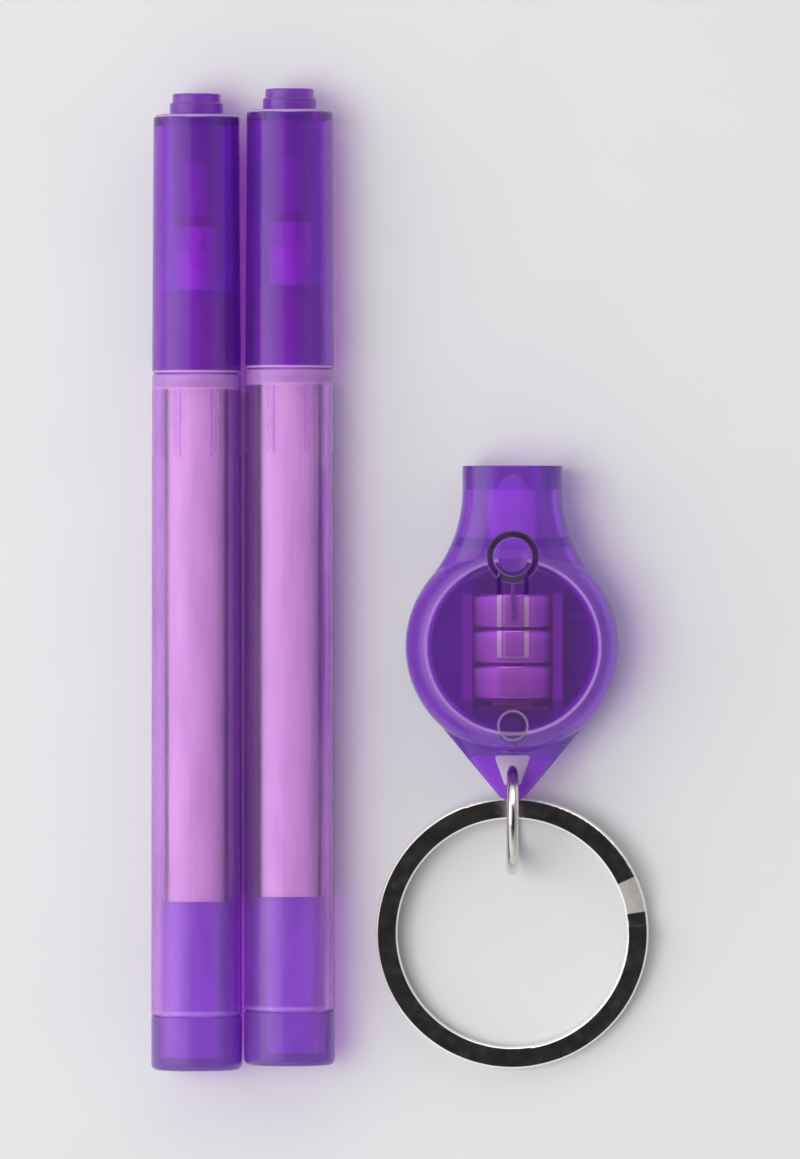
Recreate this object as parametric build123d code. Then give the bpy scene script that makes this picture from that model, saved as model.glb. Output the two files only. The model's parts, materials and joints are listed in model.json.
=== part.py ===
from build123d import *

import math
import os

# Pen barrel, in millimetres, measured along the pen from its tail
barrel_tail_d = 9.2
barrel_mouth_d = 9.0
barrel_length = 64.8
barrel_bore_d = 7.2
spigot_length = 8.4
spigot_wall = 0.65
bead_place = 4.2
bead_width = 0.7
bead_play = 0.04
nose_length = 4.1
nose_base_d = 4.4
nose_tip_d = 3.5
nose_wall = 1.0
rib_count = 6
rib_length = 7.0
rib_width = 0.6
rib_height = 0.3
rib_root = 0.1

# Pen end plug, nib and reservoir
plug_head_length = 5.5
plug_stem_length = 11.5
plug_stem_wall = 1.1
plug_end_wall = 1.3
plug_round = 0.7
joint_chamfer = 0.15
nib_d = 1.1
nib_reach = 2.3
nib_insert = 5.0
nib_round = 0.4
film_wall = 0.12

# Pen cap and its plug
cap_length = 26.2
cap_draft = 0.15
cap_wall = 0.8
cap_top_wall = 1.2
cap_round = 0.5
cap_plug_wall = 0.35
button_base_d = 5.4
button_base_height = 1.2
button_top_d = 4.9
button_top_height = 0.9
button_round = 0.15
vent_d = 2.0
vent_length = 5.3
seal_overlap = 1.8

# Torch case
puck_r = 10.8
case_wall = 1.0
face_wall = 0.9
face_lip = 0.25
face_recess = 0.25
shoulder_width = 1.9
shoulder_drop = 3.8
shoulder_bulge = 0.37
back_round = 1.2
parting_z = 4.4
neck_width = 10.1
neck_length = 7.4
neck_round = 3.6
collar_length = 2.4
bulkhead_wall = 1.0
flare_r = 14.0
tail_tip_r = 2.0
tail_thickness = 2.4
tail_waist = 2.6
tail_tuck = 0.15
tail_root_drop = 1.3
tail_root_lift = 0.6
tail_root_round = 3.8
tail_waist_round = 1.2
tail_round = 0.8
tail_margin = 0.3
tail_bar = 1.6
eye_gap = 0.2
eye_length = 3.0
eye_top_width = 3.7
eye_round = 0.3

# Torch press button, a tongue with a round head
head_y = 9.0
head_d = 4.1
head_proud = 0.3
head_dish = 0.2
head_dish_r = 1.5
tongue_width = 2.3
tongue_root_y = -1.1
slit = 0.45
root_gap = 0.06
press_room = 1.2

# Torch cells, lamp and inner metal
cell_d = 7.9
cell_height = 3.6
cell_count = 3
cell_top_y = 5.3
can_wall = 0.25
can_round = 0.35
can_setback = 0.2
gasket_wall = 0.45
gasket_height = 0.9
pocket_wall = 1.0
pocket_wall_top = 7.0
pocket_lead_in = 0.3
end_wall = 1.55
side_rib_places = (3.0, -3.7)
side_rib_width = 0.5
led_d = 5.0
led_length = 8.6
led_flange_ledge = 0.4
led_flange_height = 1.0
led_recess = 0.8
led_pitch = 2.54
lead_d = 0.45
lead_bend = 0.6
lead_inside = 3.0
lead_gap = 0.2
lead_wall_gap = 0.3
lead_tip_y = 2.6
anvil_size = 1.1
contact_thickness = 0.25
contact_gap = 0.3
contact_width = 7.0
contact_leaf_width = 4.0
contact_height = 6.6
stop_rib_length = 0.95
stop_rib_width = 6.4
stop_rib_drop = 0.9
post_d = 3.06
screw_d = 1.6
screw_head_d = 2.8
screw_head_height = 0.9
screw_reach = 6.5
screw_sink = 0.2
cross_width = 0.5
cross_span = 2.0
cross_depth = 0.4

# Key link and split ring
link_od = 11.1
link_wire_d = 1.15
link_slack = 0.85
link_slit = 0.08
ring_od = 27.6
strip_width = 2.2
strip_thickness = 0.9
strip_round = 0.25
turn_gap = 0.06
ramp_angle = 16.0
ramp_steps = 4
ramp_place = 17.0
end_gap_angle = 3.0
strip_offset = 0.7

# Clearances shared by the fits
push_fit = 0.03
slide_fit = 0.1
seat_gap = 0.05
ring_play = 0.08
spigot_play = 0.15
core_play = 0.1
seal_play = 0.1
cell_floor_gap = 0.15
lead_headroom = 0.1
post_gap = 0.07
eye_play = 0.22

# Where the three things lie beside each other
pen_gap = 0.2
pen_step = 0.5
torch_gap = 4.1
torch_rise = 42.8

# Fits of a pen and places along it, from its tail
cap_mouth_d = barrel_mouth_d
cap_top_d = cap_mouth_d - 2 * cap_draft
cap_bore_r = cap_mouth_d / 2 - cap_wall
spigot_d = 2 * (cap_bore_r - spigot_play)
spigot_bore_r = spigot_d / 2 - spigot_wall
reservoir_d = barrel_bore_d - 2 * (rib_height + core_play)
y_joint = plug_head_length
y_mouth = y_joint + barrel_length
y_spigot = y_mouth + spigot_length
y_nose = y_spigot + nose_length
y_nib = y_nose + nib_reach
y_cap_top = y_mouth + cap_length
y_pen_top = y_cap_top + button_base_height + button_top_height
y_core_tail = y_joint + plug_stem_length + seat_gap
y_shoulder = y_mouth - spigot_wall - (barrel_bore_d / 2 - spigot_bore_r)
y_core_front = y_shoulder - seat_gap
seal_end = y_nose - seal_overlap
nose_taper = (nose_base_d - nose_tip_d) / 2 / nose_length
seal_r = nose_tip_d / 2 + nose_taper * seal_overlap + seal_play
cap_plug_d = 2 * (seal_r + cap_plug_wall)

# Places in the torch, from the middle of its face, with the back at zero height
face_r = puck_r - shoulder_width
axis_z = case_wall + cell_floor_gap + cell_d / 2
case_height = axis_z + cell_d / 2 + lead_gap + lead_d + lead_headroom + face_wall
neck_depth = 2 * (axis_z - seat_gap)
neck_top = puck_r + neck_length
eye_top = puck_r + eye_gap
eye_bottom = eye_top + eye_length
eye_bottom_width = link_wire_d + 2 * eye_play
tail_reach = eye_bottom + tail_bar
roof_z = case_height - face_wall
face_z = case_height - face_recess
led_base_y = neck_top - led_recess - led_length
led_flange_d = led_d + 2 * led_flange_ledge
pocket_half = cell_d / 2 + slide_fit
pocket_top_y = cell_top_y + pocket_lead_in
stack_bottom_y = cell_top_y - cell_count * cell_height
contact_depth = 2 * contact_thickness + contact_gap
end_wall_y = stack_bottom_y - contact_depth - seat_gap
pocket_bottom_y = end_wall_y - end_wall
post_y = end_wall_y - post_gap - post_d / 2
lead_run_z = axis_z + cell_d / 2 + lead_gap + lead_d / 2
lead_corner = pocket_half - lead_d / 2 - lead_wall_gap
link_r = (link_od - link_wire_d) / 2
link_inner_r = link_od / 2 - link_wire_d
link_y = -eye_bottom + link_slack - link_inner_r
link_z = link_od / 2
bar_y = -eye_bottom - tail_bar / 2
bar_z = parting_z + tail_thickness / 2
ring_thickness = 2 * strip_thickness + turn_gap
ring_r = (ring_od - strip_width) / 2
strip_y = -tail_reach - strip_offset
strip_reach = link_inner_r - math.hypot(strip_width, ring_thickness) / 2 - ring_play
strip_z = link_z - math.sqrt(strip_reach**2 - (strip_y - link_y) ** 2)

# The split ring leans on the floor at its far side and hangs in the link at its near side
lean_a = ring_r + ring_od / 2
lean_b = ring_thickness / 2
ring_lean = math.asin(strip_z / math.hypot(lean_a, lean_b)) - math.atan2(lean_b, lean_a)
ring_y = strip_y - ring_r * math.cos(ring_lean)
ring_z = strip_z - ring_r * math.sin(ring_lean)

# The whole set is centred on its own box, lying on the floor
pen_r = max(barrel_tail_d, barrel_mouth_d, cap_mouth_d) / 2
torch_half = max(ring_od / 2, puck_r)
set_width = 4 * pen_r + pen_gap + torch_gap + 2 * torch_half
far_reach = ring_od / 2 * math.cos(ring_lean) + lean_b * math.sin(ring_lean)
set_low = min(0, torch_rise + ring_y - far_reach)
set_high = max(pen_step + y_pen_top, torch_rise + neck_top)
tail_y = -(set_low + set_high) / 2
pen_1_place = (-set_width / 2 + pen_r, tail_y, pen_r)
pen_2_place = (-set_width / 2 + 3 * pen_r + pen_gap, tail_y + pen_step, pen_r)
torch_place = (set_width / 2 - torch_half, tail_y + torch_rise, 0)


def turned(points):
    """A solid turned about the Y axis from radius and height points."""
    return revolve(make_face(Polyline(*points, close=True)), axis=Axis.Y)


def rod(radius, low, high):
    """A plain round bar along the Y axis."""
    return turned([(0, low), (radius, low), (radius, high), (0, high)])


def block(x, y, z):
    """A box from its low and high places along each axis."""
    size = [high - low for low, high in (x, y, z)]
    middle = [(high + low) / 2 for low, high in (x, y, z)]
    return Pos(*middle) * Box(*size)


def post(radius, x, y, low, high):
    """A plain round bar along the Z axis."""
    return Pos(x, y, (low + high) / 2) * Cylinder(radius, high - low)


def barrel():
    mouth_r = barrel_mouth_d / 2
    tail_r = barrel_tail_d / 2
    bore_r = barrel_bore_d / 2
    hole_r = nib_d / 2 + push_fit
    bead_r = cap_bore_r - bead_play
    shell = turned([
        (bore_r, y_joint),
        (tail_r - joint_chamfer, y_joint),
        (tail_r, y_joint + joint_chamfer),
        (mouth_r, y_mouth - joint_chamfer),
        (mouth_r - joint_chamfer, y_mouth),
        (spigot_d / 2, y_mouth),
        (spigot_d / 2, y_mouth + bead_place - bead_width / 2),
        (bead_r, y_mouth + bead_place),
        (spigot_d / 2, y_mouth + bead_place + bead_width / 2),
        (spigot_d / 2, y_spigot - joint_chamfer),
        (spigot_d / 2 - joint_chamfer, y_spigot),
        (nose_base_d / 2, y_spigot),
        (nose_tip_d / 2, y_nose),
        (hole_r, y_nose),
        (hole_r, y_spigot - nose_wall),
        (spigot_bore_r, y_spigot - nose_wall),
        (spigot_bore_r, y_mouth - spigot_wall),
        (bore_r, y_shoulder),
    ])
    rib = block(
        (bore_r - rib_height, bore_r + rib_root),
        (y_shoulder - rib_length, y_shoulder),
        (-rib_width / 2, rib_width / 2),
    )
    for turn in range(rib_count):
        shell += Rot(0, turn * 360 / rib_count, 0) * rib
    return shell


def end_plug():
    tail_r = barrel_tail_d / 2
    stem_r = barrel_bore_d / 2 - push_fit
    stem_top = y_joint + plug_stem_length
    plug = turned([
        (0, 0),
        (tail_r, 0),
        (tail_r, y_joint - joint_chamfer),
        (tail_r - joint_chamfer, y_joint),
        (stem_r, y_joint),
        (stem_r, stem_top),
        (stem_r - plug_stem_wall, stem_top),
        (stem_r - plug_stem_wall, plug_end_wall),
        (0, plug_end_wall),
    ])
    return fillet(plug.edges().group_by(Axis.Y)[0], plug_round)


def reservoir_core():
    core = rod(reservoir_d / 2 - film_wall - push_fit, y_core_tail, y_core_front)
    return core - rod(nib_d / 2 + push_fit, y_core_front - nib_insert - seat_gap, y_core_front)


def reservoir_film():
    sleeve = rod(reservoir_d / 2, y_core_tail, y_core_front)
    return sleeve - rod(reservoir_d / 2 - film_wall, y_core_tail, y_core_front)


def nib():
    tip = rod(nib_d / 2, y_core_front - nib_insert, y_nib)
    return fillet(tip.edges().group_by(Axis.Y)[-1], nib_round)


def cap():
    top_inside = y_cap_top - cap_top_wall
    hole_r = cap_plug_d / 2 + push_fit
    sleeve = turned([
        (cap_bore_r, y_mouth + seat_gap),
        (cap_mouth_d / 2 - joint_chamfer, y_mouth + seat_gap),
        (cap_mouth_d / 2, y_mouth + seat_gap + joint_chamfer),
        (cap_top_d / 2, y_cap_top),
        (hole_r, y_cap_top),
        (hole_r, top_inside),
        (cap_bore_r - cap_draft, top_inside),
    ])
    rim = sleeve.edges().group_by(Axis.Y)[-1].sort_by(SortBy.RADIUS)[-1]
    return fillet(rim, cap_round)


def cap_plug():
    base_top = y_cap_top + button_base_height
    vent_low = y_nib + seat_gap + seal_r - vent_d / 2
    button = turned([
        (0, y_pen_top),
        (button_top_d / 2, y_pen_top),
        (button_top_d / 2, base_top),
        (button_base_d / 2 - button_round, base_top),
        (button_base_d / 2, base_top - button_round),
        (button_base_d / 2, y_cap_top),
        (cap_plug_d / 2, y_cap_top),
        (cap_plug_d / 2, seal_end),
        (seal_r, seal_end),
        (seal_r, y_nib + seat_gap),
        (vent_d / 2, vent_low),
        (vent_d / 2, vent_low + vent_length),
        (0, vent_low + vent_length),
    ])
    return fillet(button.edges().group_by(Axis.Y)[-1], button_round)


def puck(inset, low, high, flat_r, side_top):
    """A round pill about the Z axis: flat back, straight side and a bulged shoulder up to a flat face."""
    side = puck_r - inset
    middle = ((side + flat_r) / 2 + shoulder_bulge, (side_top + high) / 2 + shoulder_bulge)
    edge = [
        Line((0, low), (side, low)),
        Line((side, low), (side, side_top)),
        ThreePointArc((side, side_top), middle, (flat_r, high)),
        Line((flat_r, high), (0, high)),
        Line((0, high), (0, low)),
    ]
    return revolve(Plane.XZ * make_face(edge), axis=Axis.Z)


def neck(inset):
    """The lamp neck with the flares that run into the round case, drawn in by an inset all round."""
    half = neck_width / 2 - inset
    deep = neck_depth / 2 - inset
    flare_x = neck_width / 2 + flare_r
    flare_y = math.sqrt((puck_r + flare_r) ** 2 - flare_x**2)
    share = (puck_r - inset) / (puck_r + flare_r)
    foot = (flare_x * share, flare_y * share)
    bend = math.atan2(foot[1] - flare_y, foot[0] - flare_x)
    middle_turn = (math.pi + bend % (2 * math.pi)) / 2
    arc_r = flare_r + inset
    waist = (flare_x + arc_r * math.cos(middle_turn), flare_y + arc_r * math.sin(middle_turn))
    right = [
        Line((0, neck_top), (half, neck_top)),
        Line((half, neck_top), (half, flare_y)),
        ThreePointArc((half, flare_y), waist, foot),
        Line(foot, (0, foot[1] - half)),
    ]
    outline = make_face(right + [mirror(edge, Plane.YZ) for edge in right])
    bar = Pos(0, 0, axis_z - deep) * extrude(outline, 2 * deep)
    ends = bar.edges().filter_by(
        lambda edge: abs(abs(edge.center().Z - axis_z) - deep) < seat_gap
        and abs(edge.center().X) > half - seat_gap
        and edge.center().Y > foot[1]
    )
    return fillet(ends, neck_round - inset)


def tail_loop():
    """The tail that tapers from the round case to a pointed loop, with a three-cornered eye for the link."""
    centre = tail_reach - tail_tip_r
    root_r = puck_r - tail_tuck
    slope = math.asin((root_r - tail_tip_r) / centre)
    cos, sin = math.cos(slope), math.sin(slope)
    shoulder = (root_r * cos, -root_r * sin)
    tip = (tail_tip_r * cos, -centre - tail_tip_r * sin)
    edge = [
        Line((0, shoulder[1]), shoulder),
        Line(shoulder, tip),
        ThreePointArc(tip, (0, -tail_reach), (-tip[0], tip[1])),
        Line((-tip[0], tip[1]), (-shoulder[0], shoulder[1])),
        Line((-shoulder[0], shoulder[1]), (0, shoulder[1])),
    ]
    plan = extrude(make_face(edge), case_height)

    def section(y, low, high, radius):
        half = shoulder[0] + (y - shoulder[1]) / math.tan(math.pi / 2 - slope) + tail_margin
        plane = Plane((0, y, (low + high) / 2), x_dir=(1, 0, 0), z_dir=(0, -1, 0))
        return plane * RectangleRounded(2 * half, high - low, radius)

    root = section(shoulder[1], tail_root_lift, case_height - tail_root_drop, tail_root_round)
    under = parting_z - seat_gap / 2
    waist = section(-eye_top, under, parting_z + tail_waist, tail_waist_round)
    end = section(-tail_reach, under, parting_z + tail_thickness, tail_round)
    tail = loft([root, waist, end], ruled=True) & plan
    corners = Polyline(
        (-eye_top_width / 2, -eye_top),
        (eye_top_width / 2, -eye_top),
        (eye_bottom_width / 2, -eye_bottom),
        (-eye_bottom_width / 2, -eye_bottom),
        close=True,
    )
    eye = make_face(corners)
    eye = fillet(eye.vertices(), eye_round)
    return tail - extrude(eye, case_height)


def case_outside():
    pill = puck(0, 0, case_height, face_r, case_height - shoulder_drop)
    pill = fillet(pill.edges().group_by(Axis.Z)[0], back_round)
    pill -= post(face_r - face_lip, 0, 0, face_z, case_height)
    return pill + neck(0)


def case_inside():
    """The hollow for the cells and in the neck, with the lamp's bore through its bulkhead and its collar."""
    room = puck(case_wall, case_wall, roof_z, face_r - face_wall, case_height - shoulder_drop)
    flange_top = led_base_y + led_flange_height + seat_gap
    bulkhead = block((-puck_r, puck_r), (flange_top, flange_top + bulkhead_wall), (0, case_height))
    collar = block((-puck_r, puck_r), (neck_top - collar_length, neck_top), (0, case_height))
    bore = rod(led_d / 2 + slide_fit, led_base_y, neck_top)
    seat = rod(led_flange_d / 2 + slide_fit, led_base_y - seat_gap, flange_top)
    return room + (neck(case_wall) - bulkhead - collar) + Pos(0, 0, axis_z) * (bore + seat)


def keyhole(margin, low, high):
    """The button's plan, a round head on a straight tongue, grown by a margin."""
    tongue = block(
        (-tongue_width / 2 - margin, tongue_width / 2 + margin),
        (tongue_root_y, head_y),
        (low, high),
    )
    return tongue + post(head_d / 2 + margin, 0, head_y, low, high)


def case_half(low, high):
    """The case between two heights: a hollow shell, slotted round the button, with its share of the tail."""
    slab = block((-2 * puck_r, 2 * puck_r), (-2 * tail_reach, 2 * neck_top), (low, high))
    slot = keyhole(slit, roof_z - press_room, 2 * case_height)
    inside_wall = post(puck_r - case_wall / 2, 0, 0, 0, case_height)
    shell = (case_outside() & slab) - case_inside() - slot
    return shell + ((tail_loop() - inside_wall) & slab)


def front_case():
    pillar = post(post_d / 2, 0, post_y, parting_z, roof_z + face_wall / 2) & case_outside()
    screw_tip = screw_sink + screw_head_height + screw_reach
    hole = post(screw_d / 2 + push_fit, 0, post_y, parting_z, screw_tip + seat_gap)
    return case_half(parting_z, 2 * case_height) + (pillar - hole)


def rear_case():
    shell = case_half(-case_height, parting_z - seat_gap)
    floor = case_wall / 2
    wall_x = (pocket_half, pocket_half + pocket_wall)
    for side in (wall_x, (-wall_x[1], -wall_x[0])):
        shell += block(side, (pocket_bottom_y, pocket_top_y), (floor, pocket_wall_top))
    end_top = parting_z - seat_gap
    rib_start = pocket_half + pocket_wall / 2
    for place in side_rib_places:
        rib_end = math.sqrt((puck_r - case_wall / 2) ** 2 - place**2)
        rib_y = (place - side_rib_width / 2, place + side_rib_width / 2)
        for side in ((rib_start, rib_end), (-rib_end, -rib_start)):
            shell += block(side, rib_y, (floor, end_top))
    shell += block((-wall_x[1], wall_x[1]), (pocket_bottom_y, end_wall_y), (floor, end_top))
    rib_y = (led_base_y - seat_gap - stop_rib_length, led_base_y - seat_gap)
    rib_top = axis_z - stop_rib_drop
    shell += block((-stop_rib_width / 2, stop_rib_width / 2), rib_y, (floor, rib_top))
    shell += post(post_d / 2, 0, post_y, floor, end_top)
    head_top = screw_sink + screw_head_height + seat_gap
    shell -= post(screw_head_d / 2 + slide_fit, 0, post_y, 0, head_top)
    return shell - post(screw_d / 2 + slide_fit, 0, post_y, 0, end_top)


def press_button():
    body = keyhole(0, roof_z, face_z)
    body -= block(
        (-tongue_width, tongue_width),
        (tongue_root_y - root_gap, tongue_root_y + root_gap),
        (roof_z, face_z),
    )
    head_top = case_height + head_proud
    head = post(head_d / 2, 0, head_y, roof_z, head_top)
    head = fillet(head.edges().group_by(Axis.Z)[-1], head_dish)
    ball_r = (head_dish_r**2 + head_dish**2) / (2 * head_dish)
    return body + head - Pos(0, head_y, head_top + ball_r - head_dish) * Sphere(ball_r)


def wire(points):
    """A round wire along straight runs with rounded corners."""
    path = FilletPolyline(*points, radius=lead_bend)
    return sweep(Plane(path @ 0, z_dir=path % 0) * Circle(lead_d / 2), path=path)


def led_anode_lead():
    x = led_pitch / 2
    rise_y = (led_base_y + cell_top_y) / 2
    points = [
        (x, led_base_y + lead_inside, axis_z),
        (x, rise_y, axis_z),
        (0, rise_y - lead_bend, lead_run_z),
        (0, lead_tip_y, lead_run_z),
    ]
    return wire(points)


def led_cathode_lead():
    x = -led_pitch / 2
    turn_y = (led_base_y + cell_top_y) / 2
    low_z = axis_z - lead_corner
    points = [
        (x, led_base_y + lead_inside, axis_z),
        (x, turn_y, axis_z),
        (-lead_corner, turn_y - lead_bend, low_z),
        (-lead_corner, end_wall_y + 2 * contact_thickness, low_z),
    ]
    top = led_base_y + lead_inside
    anvil = block(
        (x - lead_d / 2, x - lead_d / 2 + anvil_size),
        (top, top + anvil_size),
        (axis_z - lead_d / 2, axis_z + lead_d / 2),
    )
    return wire(points) + anvil


def led_lens():
    dome_y = led_base_y + led_length - led_d / 2
    body = rod(led_d / 2, led_base_y, dome_y)
    body += rod(led_flange_d / 2, led_base_y, led_base_y + led_flange_height)
    body = Pos(0, 0, axis_z) * (body + Pos(0, dome_y, 0) * Sphere(led_d / 2))
    for side in (-1, 1):
        channel = rod(lead_d / 2 + push_fit, led_base_y, led_base_y + lead_inside + push_fit)
        body -= Pos(side * led_pitch / 2, 0, axis_z) * channel
    room = anvil_size + 2 * push_fit
    room_x = -led_pitch / 2 - lead_d / 2 - push_fit
    room_y = led_base_y + lead_inside - push_fit
    room_z = axis_z - lead_d / 2 - push_fit
    return body - block((room_x, room_x + room), (room_y, room_y + room), (room_z, 2 * axis_z - room_z))


def cell_place(number):
    """Where a cell's negative end lies, counted from the lamp."""
    return Pos(0, cell_top_y - number * cell_height, axis_z)


def cell_can():
    can = rod(cell_d / 2, can_setback, cell_height)
    can = fillet(can.edges().filter_by(GeomType.CIRCLE), can_round)
    return can - rod(cell_d / 2 - can_wall, can_setback, cell_height - can_wall)


def cell_gasket():
    outer = cell_d / 2 - can_wall - push_fit
    ring = rod(outer, can_setback / 2, gasket_height)
    return ring - rod(outer - gasket_wall, can_setback / 2, gasket_height)


def cell_negative_cap():
    outer = cell_d / 2 - can_wall - push_fit
    low = rod(outer - gasket_wall - push_fit, 0, gasket_height + push_fit)
    return low + rod(outer, gasket_height + push_fit, cell_height - can_wall - push_fit)


def end_contact():
    """A folded strip: a base leg on the pocket's end wall and a narrower leaf on the last cell."""
    low = axis_z - contact_height / 2
    high = axis_z + contact_height / 2
    leaf_y = stack_bottom_y - seat_gap / 2
    base_y = leaf_y - contact_depth
    base = block((-contact_width / 2, contact_width / 2), (base_y, base_y + contact_thickness), (low, high))
    leaf_x = (-contact_leaf_width / 2, contact_leaf_width / 2)
    leaf = block(leaf_x, (leaf_y - contact_thickness, leaf_y), (low, high))
    fold = block(leaf_x, (base_y, leaf_y), (high, high + contact_thickness))
    return base + leaf + fold


def case_screw():
    head = post(screw_head_d / 2, 0, post_y, screw_sink, screw_sink + screw_head_height)
    for turn in (0, 90):
        cross = Rot(0, 0, turn) * Box(cross_span, cross_width, 2 * cross_depth)
        head -= Pos(0, post_y, screw_sink) * cross
    shank_low = screw_sink + screw_head_height
    return head + post(screw_d / 2, 0, post_y, shank_low, shank_low + screw_reach)


def key_link():
    loop = Pos(0, link_y, link_z) * Rot(0, 90, 0) * Torus(link_r, link_wire_d / 2)
    far = link_y - link_r
    cut = block(
        (-link_wire_d, link_wire_d),
        (far - link_wire_d, far + link_wire_d),
        (link_z - link_slit / 2, link_z + link_slit / 2),
    )
    return loop - cut


def split_ring():
    """Two flat turns of strip, joined by one ramp where the strip climbs from the lower to the upper turn."""
    step = strip_thickness + turn_gap

    def section(angle, climb):
        outline = RectangleRounded(strip_width, strip_thickness, strip_round)
        height = (climb - 0.5) * step
        return Rot(0, 0, angle) * Pos(ring_r, 0, height) * (Plane.XZ * outline)

    turn_angle = 360 - ramp_angle - 2 * end_gap_angle
    ramp_end = ramp_place + ramp_angle / 2
    ramp_start = ramp_place - ramp_angle / 2
    lower = revolve(section(ramp_start - turn_angle, 0), axis=Axis.Z, revolution_arc=turn_angle)
    upper = revolve(section(ramp_end, 1), axis=Axis.Z, revolution_arc=turn_angle)
    shares = [number / ramp_steps for number in range(ramp_steps + 1)]
    ramp = loft([section(ramp_start + ramp_angle * share, share) for share in shares], ruled=True)
    ring = lower + ramp + upper
    return Pos(0, ring_y, ring_z) * Rot(math.degrees(ring_lean), 0, 0) * ring


def pen_pieces():
    return {
        "barrel": barrel(),
        "end_plug": end_plug(),
        "reservoir_core": reservoir_core(),
        "reservoir_film": reservoir_film(),
        "nib": nib(),
        "cap": cap(),
        "cap_plug": cap_plug(),
    }


def torch_pieces():
    pieces = {
        "torch_front_case": front_case(),
        "torch_rear_case": rear_case(),
        "torch_press_button": press_button(),
        "torch_led_lens": led_lens(),
        "torch_led_anode_lead": led_anode_lead(),
        "torch_led_cathode_lead": led_cathode_lead(),
        "torch_end_contact": end_contact(),
        "torch_case_screw": case_screw(),
        "key_link": key_link(),
        "split_ring": split_ring(),
    }
    for number in range(1, cell_count + 1):
        place = cell_place(number)
        pieces[f"cell_{number}_can"] = place * cell_can()
        pieces[f"cell_{number}_gasket"] = place * cell_gasket()
        pieces[f"cell_{number}_negative_cap"] = place * cell_negative_cap()
    return pieces


os.makedirs("parts", exist_ok=True)
for pen, place in (("pen_1", pen_1_place), ("pen_2", pen_2_place)):
    for name, piece in pen_pieces().items():
        export_step(Pos(*place) * piece, f"parts/{pen}_{name}.step")
for name, piece in torch_pieces().items():
    export_step(Pos(*torch_place) * piece, f"parts/{name}.step")

print("pen 1, pen 2 and torch places", pen_1_place, pen_2_place, torch_place)
print("button root", tongue_root_y, (roof_z + face_z) / 2)
print("tail bar", bar_y, bar_z)
print("ring strip", strip_y, strip_z, "lean", math.degrees(ring_lean), "ring centre", ring_y, ring_z)
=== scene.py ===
# %% [markdown]
# This lesson dresses a small set: a pair of capped felt-tip pens that hold invisible ink, and a teardrop
# key torch with an ultraviolet lamp, a link and a split ring. Nearly everything in it is clear violet
# plastic, so most of the work is in how light goes through a wall, and not in shapes. The solids come
# from the imported model and stay where they are. They are loaded first, and their box is measured.

# %% Load the solids
import json

import bmesh
import bpy
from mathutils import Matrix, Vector


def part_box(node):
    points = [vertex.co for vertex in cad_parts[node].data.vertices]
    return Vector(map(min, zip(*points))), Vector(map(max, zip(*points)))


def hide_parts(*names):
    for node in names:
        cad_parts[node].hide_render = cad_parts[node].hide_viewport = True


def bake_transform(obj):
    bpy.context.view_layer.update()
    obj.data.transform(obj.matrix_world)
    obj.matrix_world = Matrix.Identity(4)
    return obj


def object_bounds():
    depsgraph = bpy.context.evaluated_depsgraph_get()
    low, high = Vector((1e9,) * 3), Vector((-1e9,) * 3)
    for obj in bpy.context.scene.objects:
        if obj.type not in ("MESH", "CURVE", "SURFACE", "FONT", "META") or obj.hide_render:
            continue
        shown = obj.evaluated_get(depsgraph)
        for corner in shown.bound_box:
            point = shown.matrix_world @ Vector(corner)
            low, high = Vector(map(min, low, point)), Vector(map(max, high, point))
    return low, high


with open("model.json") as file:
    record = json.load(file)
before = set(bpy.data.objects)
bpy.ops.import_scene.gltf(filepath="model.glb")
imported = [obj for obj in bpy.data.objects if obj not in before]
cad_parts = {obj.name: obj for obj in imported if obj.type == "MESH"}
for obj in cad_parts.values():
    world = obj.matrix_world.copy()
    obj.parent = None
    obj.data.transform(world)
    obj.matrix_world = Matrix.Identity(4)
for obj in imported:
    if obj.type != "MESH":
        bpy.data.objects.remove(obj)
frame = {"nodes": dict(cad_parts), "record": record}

MM = 0.001
cad_low, cad_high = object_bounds()
cad_size = cad_high - cad_low
print("solids:", len(frame["nodes"]), "box in mm:", [round(side / MM, 2) for side in cad_size])

# %% [markdown]
# The set is seen from straight above, and its outlines show no perspective to speak of, so the camera has
# a very long lens. A camera in Blender looks down its own -Z axis with +Y up, which is already the right
# way round for this set. The only choice is the distance: the frame is a little taller than the pens.

# %% Camera from straight above
FRAME_ASPECT = 800 / 1159
LENS_MM = 400.0
SENSOR_MM = 36.0
FRAME_HEIGHT = 117 * MM
camera_data = bpy.data.cameras.new("overhead_camera")
camera_data.lens = LENS_MM
camera_data.sensor_width = SENSOR_MM
camera = bpy.data.objects.new("overhead_camera", camera_data)
bpy.context.scene.collection.objects.link(camera)
middle = (cad_low + cad_high) / 2
camera_height = FRAME_HEIGHT * LENS_MM / SENSOR_MM
camera.location = (middle.x, middle.y, middle.z + camera_height)
bpy.context.scene.camera = camera
bpy.context.scene.view_settings.view_transform = "Standard"
frame_width = FRAME_HEIGHT * FRAME_ASPECT
print("camera height in mm:", round(camera_height / MM), "frame width in mm:", round(frame_width / MM))

# %% [markdown]
# Clear plastic shows what is under it, so the floor is part of the look. It is plain pale paper. A flat
# colour would do, but a faint mottle keeps large even areas from looking like nothing at all. The mottle
# is noise, which most of the finishes here use too. Noise seldom leaves its middle range, so the ramps over
# it start and end there.

# %% Pale paper floor
FLOOR_SIZE = 3.0
PAPER_MOTTLE = (60, 60, 60)
PAPER_TONES = [(0.718, 0.718, 0.726), (0.735, 0.735, 0.743)]
PAPER_ROUGHNESS = 0.85
PAPER_SHINE = 0.2
NOISE_LOW = 0.3
NOISE_HIGH = 0.7
bpy.ops.mesh.primitive_plane_add(size=FLOOR_SIZE, location=(0, 0, 0))
floor = bpy.context.object
floor.name = "paper_floor"


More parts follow.
